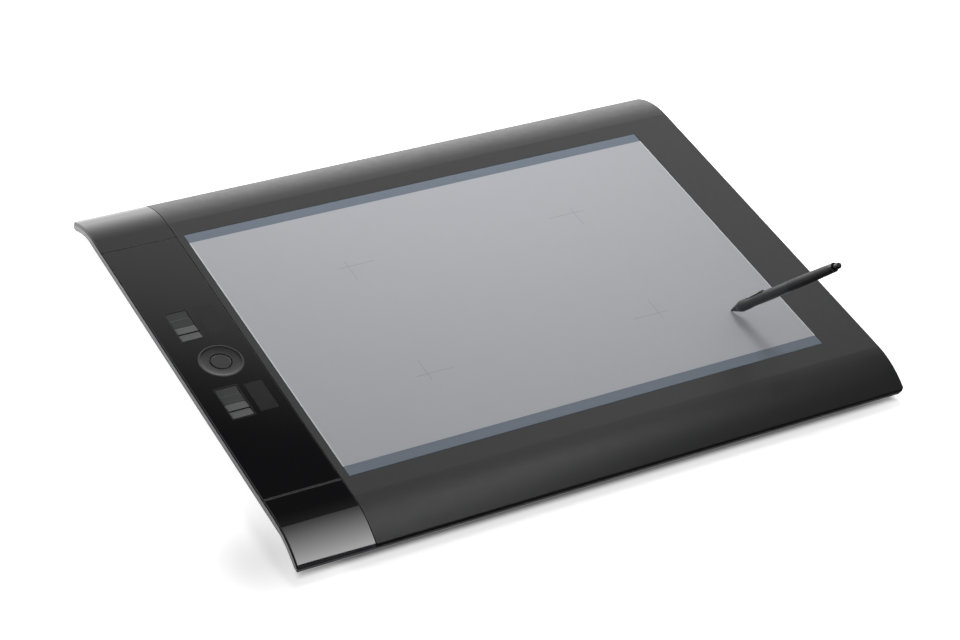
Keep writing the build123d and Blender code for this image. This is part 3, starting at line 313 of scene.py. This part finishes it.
def drift_colour_and_paint_gap_shade(net, colour, drift=COLOUR_DRIFT, gap_top=None):
    """Handling: the colour drifts a little. Below gap_top, painted shade: colour and specular are
    dimmed.
    """
    share = net.cloud(CLOUD_BLOBS, 1.0, drift)
    if gap_top is not None:
        # Painted shade: below gap_top the colour and the specular fall to GAP_SHADE of their level
        light = net.fade(net.axis("Object", "Z"), (gap_top - GAP_FADE, gap_top), GAP_SHADE, 1.0)
        share = net.math("MULTIPLY", share, light)
        net.put(net.math("MULTIPLY", light, PLAIN_SPECULAR), net.shader("Specular IOR Level"))
    net.put(net.tinted(colour, share), net.shader("Base Color"))


def age_roughness(net, roughness):
    """Handling: the roughness drifts a little."""
    drift = roughness * ROUGHNESS_DRIFT
    net.put(net.cloud(SMUDGE_BLOBS, roughness, drift), net.shader("Roughness"))


def grained(name, colour, roughness, ior=PLAIN_IOR, strength=GRAIN_STRENGTH, gap_top=None):
    """A moulded plastic or rubber with a fine grain, and its net. Below gap_top it gets painted
    shade.
    """
    material, net = new_material(name, colour, roughness, ior=ior)
    add_bump(net, GRAIN_BLOBS, strength, GRAIN_DEPTH)
    drift_colour_and_paint_gap_shade(net, colour, gap_top=gap_top)
    age_roughness(net, roughness)
    return material, net


def smooth(name, colour, roughness, metallic=0.0, ior=PLAIN_IOR):
    """A smooth surface with the slight ripple of a moulding or a plating, and its net."""
    material, net = new_material(name, colour, roughness, metallic, ior)
    add_bump(net, RIPPLE_BLOBS, RIPPLE_STRENGTH, RIPPLE_DEPTH)
    drift_colour_and_paint_gap_shade(net, colour)
    age_roughness(net, roughness)
    return material, net


def strip_material(seam_y):
    """Polished black, rough along its two seams; painted light makes its front wall paler."""
    material, net = smooth("strip_gloss", GLOSS_COLOUR, GLOSS_ROUGHNESS)
    along = net.math("ABSOLUTE", net.axis("Object", "Y"))
    away = net.math("ABSOLUTE", net.math("SUBTRACT", along, seam_y))
    seam = net.fade(away, (SEAM_HALF_WIDTH / 2, SEAM_HALF_WIDTH), SEAM_ROUGHNESS, 0.0)
    net.put(net.math("MAXIMUM", net.feed("Roughness"), seam), net.shader("Roughness"))
    # Painted light: faces turned to the front get a paler colour
    wall = net.fade(net.axis("Normal", "Y"), FRONT_WALL, FRONT_WALL_PAINTED_LIGHT, 1.0)
    net.put(net.tinted(net.feed("Base Color"), wall), net.shader("Base Color"))
    return material


def ring_material(centre, top):
    """The ring: a satin dish inside a polished lip, a painted highlight on its outer edge, and
    painted shade in its bore.
    """
    material, net = grained("ring_satin", RING_COLOUR, RING_ROUGHNESS, strength=SATIN_STRENGTH,
                            gap_top=top - RING_GAP_DEPTH)
    away = [net.math("SUBTRACT", net.axis("Object", axis), middle)
            for axis, middle in (("X", centre.x), ("Y", centre.y))]
    squares = [net.math("POWER", distance, 2.0) for distance in away]
    reach = net.math("SQRT", net.math("ADD", *squares))
    lip = net.fade(reach, RING_LIP, 1.0, RING_LIP_ROUGHNESS / RING_ROUGHNESS)
    edge = net.fade(reach, RING_EDGE, 0.0, 1.0)
    rough = net.math("MULTIPLY", net.feed("Roughness"), net.math("MAXIMUM", lip, edge))
    net.put(rough, net.shader("Roughness"))
    # Painted highlight: a pale line along the ring's outer edge
    painted_edge_highlight = net.fade(reach, RING_EDGE, 1.0, RING_EDGE_PAINTED_HIGHLIGHT)
    net.put(net.tinted(net.feed("Base Color"), painted_edge_highlight), net.shader("Base Color"))
    return material


def sheet_material(low, high):
    """The drawing sheet: light grey, a painted highlight along its side edges, a dark band front
    and rear.
    """
    material, net = new_material("sheet_film", SHEET_COLOUR, SHEET_ROUGHNESS)
    add_bump(net, SHEET_GRAIN_BLOBS, SHEET_GRAIN_STRENGTH, SHEET_GRAIN_DEPTH)
    age_roughness(net, SHEET_ROUGHNESS)
    middle = (low + high) / 2
    colour = (*SHEET_COLOUR, 1.0)
    # The sides get a painted highlight, front and rear the printed band
    borders = (("X", SHEET_EDGE_HIGHLIGHT_WIDTH, SHEET_EDGE_HIGHLIGHT_COLOUR), ("Y", BAND_DEPTH, BAND_COLOUR))
    for index, (axis, inset, other) in enumerate(borders):
        shifted = net.math("SUBTRACT", net.axis("Object", axis), middle[index])
        reach = high[index] - middle[index] - inset
        outside = net.math("GREATER_THAN", net.math("ABSOLUTE", shifted), reach)
        mix = net.nodes.new("ShaderNodeMix")
        mix.data_type = "RGBA"
        net.put(colour, mix.inputs["A"])
        net.put((*other, 1.0), mix.inputs["B"])
        net.put(outside, mix.inputs["Factor"])
        colour = mix.outputs["Result"]
    drift_colour_and_paint_gap_shade(net, colour, drift=SHEET_COLOUR_DRIFT)
    return material


def dress(nodes, material, *names):
    """Gives CAD nodes one material."""
    for name in names:
        slots = nodes[name].data.materials
        slots.clear()
        slots.append(material)


def dress_all(nodes):
    """The finish of every CAD node."""
    for maker, finishes in ((grained, GRAINED_FINISHES), (smooth, SMOOTH_FINISHES)):
        for name, colour, roughness, settings, wearers in finishes:
            dress(nodes, maker(name, colour, roughness, **settings)[0], *wearers)
    low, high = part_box("drawing_sheet")
    dress(nodes, sheet_material(low, high), "drawing_sheet")
    dress(nodes, strip_material((high.y - low.y) / 2), "strip_rear_cap", "strip_centre_panel",
          "strip_front_cap")
    ring_place = nodes["touch_ring"].matrix_world.translation
    ring_low, ring_high = (corner - ring_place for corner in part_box("touch_ring"))
    dress(nodes, ring_material((ring_low + ring_high) / 2, ring_high.z), "touch_ring")
    toggle_place = nodes["toggle_button"].matrix_world.translation
    toggle_top = (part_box("toggle_button")[1] - toggle_place).z
    # The toggle gets painted shade on its wall below its crown
    toggle, _ = grained("toggle_satin", TOGGLE_COLOUR, TOGGLE_ROUGHNESS, strength=SATIN_STRENGTH,
                        gap_top=toggle_top - TOGGLE_GAP_DEPTH)
    dress(nodes, toggle, "toggle_button")


def add_box(form, low, high):
    """Adds a box between two corners to a bmesh."""
    size = Vector(high) - Vector(low)
    centre = (Vector(high) + Vector(low)) / 2
    matrix = Matrix.Translation(centre) @ Matrix.Diagonal((*size, 1.0))
    bmesh.ops.create_cube(form, size=1.0, matrix=matrix)


def corner_mark(name, x, y, inward_x, inward_y, bottom, material):
    """A printed corner mark: two crossing lines, longer towards the middle of the sheet."""
    form = bmesh.new()
    ends_x = sorted((x + inward_x * MARK_LONG_ARM, x - inward_x * MARK_LONG_TAIL))
    ends_y = sorted((y + inward_y * MARK_LEG, y - inward_y * MARK_LEG_TAIL))
    half = MARK_WIDTH / 2
    top = bottom + MARK_HEIGHT
    add_box(form, (ends_x[0], y - half, bottom), (ends_x[1], y + half, top))
    add_box(form, (x - half, ends_y[0], bottom), (x + half, y - half, top))
    add_box(form, (x - half, y + half, bottom), (x + half, ends_y[1], top))
    mesh = bpy.data.meshes.new(name)
    form.to_mesh(mesh)
    form.free()
    mark = bpy.data.objects.new(name, mesh)
    bpy.context.scene.collection.objects.link(mark)
    mark.data.materials.append(material)
    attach(mark, "tablet")


def corner_marks():
    """The four faint marks that frame the smaller mapping area."""
    low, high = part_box("drawing_sheet")
    middle_y = (low.y + high.y) / 2
    material, _ = smooth("mark_print", MARK_COLOUR, MARK_ROUGHNESS)
    index = 1
    for x, inward_x in ((low.x + MARK_LEFT_INSET, 1), (high.x - MARK_RIGHT_INSET, -1)):
        for side in (-1, 1):
            corner_mark(f"corner_mark_{index}", x, middle_y + side * MARK_SIDE_OFFSET, inward_x,
                        -side, high.z, material)
            index += 1


def plane(name, width, depth):
    """A flat rectangle facing +Z, part of the stage."""
    mesh = bpy.data.meshes.new(name)
    x, y = width / 2, depth / 2
    mesh.from_pydata([(-x, -y, 0), (x, -y, 0), (x, y, 0), (-x, y, 0)], [], [(0, 1, 2, 3)])
    made = bpy.data.objects.new(name, mesh)
    bpy.context.scene.collection.objects.link(made)
    return made


def mirrored_glow(net):
    """How much the floor glows in reflections: only behind the tablet, more so farther off."""
    behind = net.fade(net.axis("Object", "Y"), FLOOR_REAR, 0.0, FLOOR_REAR_GLOW)
    farther = net.fade(net.axis("Object", "Y"), FLOOR_FAR, 1.0, FLOOR_FAR_SHARE)
    return net.math("MULTIPLY", behind, farther)


def floor_lift(net):
    """How much the floor is lifted for the camera, less in two painted soft shadows."""
    place = net.nodes.new("ShaderNodeTexCoord")
    away = net.nodes.new("ShaderNodeVectorMath")
    away.operation = "DISTANCE"
    away.inputs[1].default_value = SHADE_PLACE
    net.links.new(place.outputs["Object"], away.inputs[0])
    # Painted shadow: a soft shade by the front left corner
    corner = net.fade(away.outputs["Value"], (0.0, SHADE_RADIUS), SHADE_LIFT, FLOOR_LIFT)
    # Painted shadow: a contact shade along the front edge
    ahead = net.fade(net.axis("Object", "Y"), CONTACT_FRONT, 1.0, CONTACT_SHADE)
    beside = net.fade(net.math("ABSOLUTE", net.axis("Object", "X")), CONTACT_SIDE, 0.0, 1.0)
    under = net.fade(net.axis("Object", "Y"), CONTACT_UNDER, 0.0, 1.0)
    contact = net.math("MAXIMUM", net.math("MAXIMUM", ahead, beside), under)
    return net.math("MULTIPLY", corner, contact)


def floor():
    """A white desk that keeps the shadow, with painted shadow by the tablet's front. In
    reflections it is dark, and bright at the rear.
    """
    made = plane("floor", FLOOR_SIZE, FLOOR_SIZE)
    material, net = new_material("floor_white", FLOOR_COLOUR, 1.0)
    net.put(0.0, net.shader("Specular IOR Level"))
    seen, mirrored = net.rays("Is Camera Ray", "Is Glossy Ray")
    reflected = net.math("MULTIPLY", mirrored, mirrored_glow(net))
    direct = net.math("MULTIPLY", seen, floor_lift(net))
    glow = net.nodes.new("ShaderNodeEmission")
    net.put(net.math("ADD", reflected, direct), glow.inputs["Strength"])
    dark = net.nodes.new("ShaderNodeBsdfDiffuse")
    net.put((*FLOOR_MIRROR_COLOUR, 1.0), dark.inputs["Color"])
    paper = net.nodes.new("ShaderNodeMixShader")
    net.put(mirrored, paper.inputs["Fac"])
    net.put(net.nodes["Principled BSDF"].outputs["BSDF"], paper.inputs[1])
    net.put(dark.outputs["BSDF"], paper.inputs[2])
    both = net.nodes.new("ShaderNodeAddShader")
    net.put(paper.outputs["Shader"], both.inputs[0])
    net.put(glow.outputs["Emission"], both.inputs[1])
    net.put(both.outputs["Shader"], net.nodes["Material Output"].inputs["Surface"])
    made.data.materials.append(material)


def rear_wall(net):
    """Brightness of the wall behind the tablet, by the height of the direction."""
    ramp = net.nodes.new("ShaderNodeValToRGB")
    stops = ramp.color_ramp.elements
    while len(stops) < len(WALL_STOPS):
        stops.new(0.5)
    for stop, (height, level) in zip(stops, WALL_STOPS):
        stop.position = height
        share = level / WALL_PEAK
        stop.color = (share, share, share, 1.0)
    net.put(net.axis("Generated", "Z"), ramp.inputs["Fac"])
    return net.math("MULTIPLY", ramp.outputs["Color"], WALL_PEAK)


def studio():
    """The room: a lit wall behind the tablet, dim sides and front, white for the camera.

    In reflections the front has a soft bright band low down.
    """
    world = bpy.data.worlds.new("studio")
    bpy.context.scene.world = world
    world.use_nodes = True
    net = Net(world)
    rearward = net.axis("Generated", "Y")
    seen, mirrored = net.rays("Is Camera Ray", "Is Glossy Ray")
    wall = net.math("MULTIPLY", rear_wall(net), net.fade(rearward, WALL_SIDE, 0.0, 1.0))
    band = net.fade(net.axis("Generated", "Z"), FRONT_BAND, FRONT_GLOW - SIDE_LEVEL, 0.0)
    level = net.math("ADD", net.math("MULTIPLY", mirrored, band), SIDE_LEVEL)
    front = net.math("MULTIPLY", net.fade(rearward, WALL_SIDE, 1.0, 0.0), level)
    shown = net.nodes.new("ShaderNodeMix")
    shown.data_type = "FLOAT"
    net.put(seen, shown.inputs["Factor"])
    net.put(net.math("ADD", wall, front), shown.inputs["A"])
    net.put(1.0, shown.inputs["B"])
    background = net.nodes["Background"]
    net.put((1.0, 1.0, 1.0, 1.0), background.inputs["Color"])
    net.put(shown.outputs["Result"], background.inputs["Strength"])


def aim(made, place, target, front):
    """Puts an object at a place, with one of its axes towards a point."""
    made.location = place
    made.rotation_mode = "QUATERNION"
    made.rotation_quaternion = (Vector(target) - Vector(place)).to_track_quat(front, "Y")


def area_lamp(name, place, target, size, power, spread=180):
    """A soft rectangular lamp that looks at a point, with its beam's spread in degrees."""
    data = bpy.data.lights.new(name, "AREA")
    data.shape = "RECTANGLE"
    data.size, data.size_y = size
    data.energy = power
    data.spread = math.radians(spread)
    lamp = bpy.data.objects.new(name, data)
    aim(lamp, place, target, "-Z")
    lamp.visible_camera = False
    lamp.visible_glossy = False
    bpy.context.scene.collection.objects.link(lamp)


def card(name, place, target, size, glow=1.0):
    """A glowing card seen only in reflections. Gives its net and its strength socket."""
    made = plane(name, *size)
    aim(made, place, target, "Z")
    made.visible_camera = False
    made.visible_diffuse = False
    made.visible_shadow = False
    material = bpy.data.materials.new(name)
    material.use_nodes = True
    net = Net(material)
    net.nodes.remove(net.nodes["Principled BSDF"])
    emission = net.nodes.new("ShaderNodeEmission")
    net.put(glow, emission.inputs["Strength"])
    net.put(emission.outputs["Emission"], net.nodes["Material Output"].inputs["Surface"])
    made.data.materials.append(material)
    return net, emission.inputs["Strength"]


def cap_card():
    """The card that the front cap mirrors: above it, brighter towards the front."""
    below = (CAP_CARD_PLACE[0], CAP_CARD_PLACE[1], 0.0)
    net, strength = card("cap_card", CAP_CARD_PLACE, below, CAP_CARD_SIZE)
    half = CAP_CARD_SIZE[1] / 2
    share = net.fade(net.axis("Object", "Y"), (-half, half), 1.0, 0.0, "LINEAR")
    share = net.math("POWER", share, CAP_CARD_POWER)
    share = net.math("MULTIPLY", share, CAP_CARD_FRONT - CAP_CARD_REAR)
    net.put(net.math("ADD", share, CAP_CARD_REAR), strength)


def camera():
    """The photograph's viewpoint."""
    azimuth, elevation = math.radians(CAMERA_AZIMUTH), math.radians(CAMERA_ELEVATION)
    roll = math.radians(CAMERA_ROLL)
    back = Vector((math.sin(azimuth) * math.cos(elevation),
                   -math.cos(azimuth) * math.cos(elevation), math.sin(elevation)))
    level_right = (-back).cross(Vector((0, 0, 1))).normalized()
    level_up = level_right.cross(-back)
    right = level_right * math.cos(roll) + level_up * math.sin(roll)
    up = level_up * math.cos(roll) - level_right * math.sin(roll)
    data = bpy.data.cameras.new("camera")
    data.sensor_width = SENSOR_WIDTH
    data.lens = CAMERA_FOCAL_PIXELS * SENSOR_WIDTH / IMAGE_WIDTH
    data.shift_x = -CAMERA_CENTRE_OFFSET[0] / IMAGE_WIDTH
    data.shift_y = CAMERA_CENTRE_OFFSET[1] / IMAGE_WIDTH
    data.clip_start, data.clip_end = CLIP_NEAR, CLIP_FAR
    made = bpy.data.objects.new("camera", data)
    place = (Vector(CAMERA_TARGET) + back * CAMERA_DISTANCE) * MM
    made.matrix_world = Matrix((
        (right.x, up.x, back.x, place.x),
        (right.y, up.y, back.y, place.y),
        (right.z, up.z, back.z, place.z),
        (0, 0, 0, 1),
    ))
    bpy.context.scene.collection.objects.link(made)
    bpy.context.scene.camera = made


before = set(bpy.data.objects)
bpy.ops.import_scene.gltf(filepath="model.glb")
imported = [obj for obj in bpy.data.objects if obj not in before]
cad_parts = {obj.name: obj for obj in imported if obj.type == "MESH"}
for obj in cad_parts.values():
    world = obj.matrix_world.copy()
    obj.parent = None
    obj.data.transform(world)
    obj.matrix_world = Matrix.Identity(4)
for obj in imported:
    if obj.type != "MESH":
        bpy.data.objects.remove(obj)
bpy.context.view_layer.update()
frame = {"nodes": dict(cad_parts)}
dress_all(frame["nodes"])
corner_marks()
floor()
studio()
cap_card()
card("edge_card", EDGE_CARD_PLACE, EDGE_CARD_TARGET, EDGE_CARD_SIZE, EDGE_CARD_GLOW)
card("slope_card", SLOPE_CARD_PLACE, SLOPE_CARD_TARGET, SLOPE_CARD_SIZE, SLOPE_CARD_GLOW)
card("flag_card", FLAG_PLACE, FLAG_TARGET, FLAG_SIZE, FLAG_GLOW)
area_lamp("key_lamp", LAMP_PLACE, LAMP_TARGET, LAMP_SIZE, LAMP_POWER, LAMP_SPREAD)
area_lamp("fill_lamp", FILL_PLACE, FILL_TARGET, FILL_SIZE, FILL_POWER)
camera()
bpy.context.scene.view_settings.view_transform = "Standard"
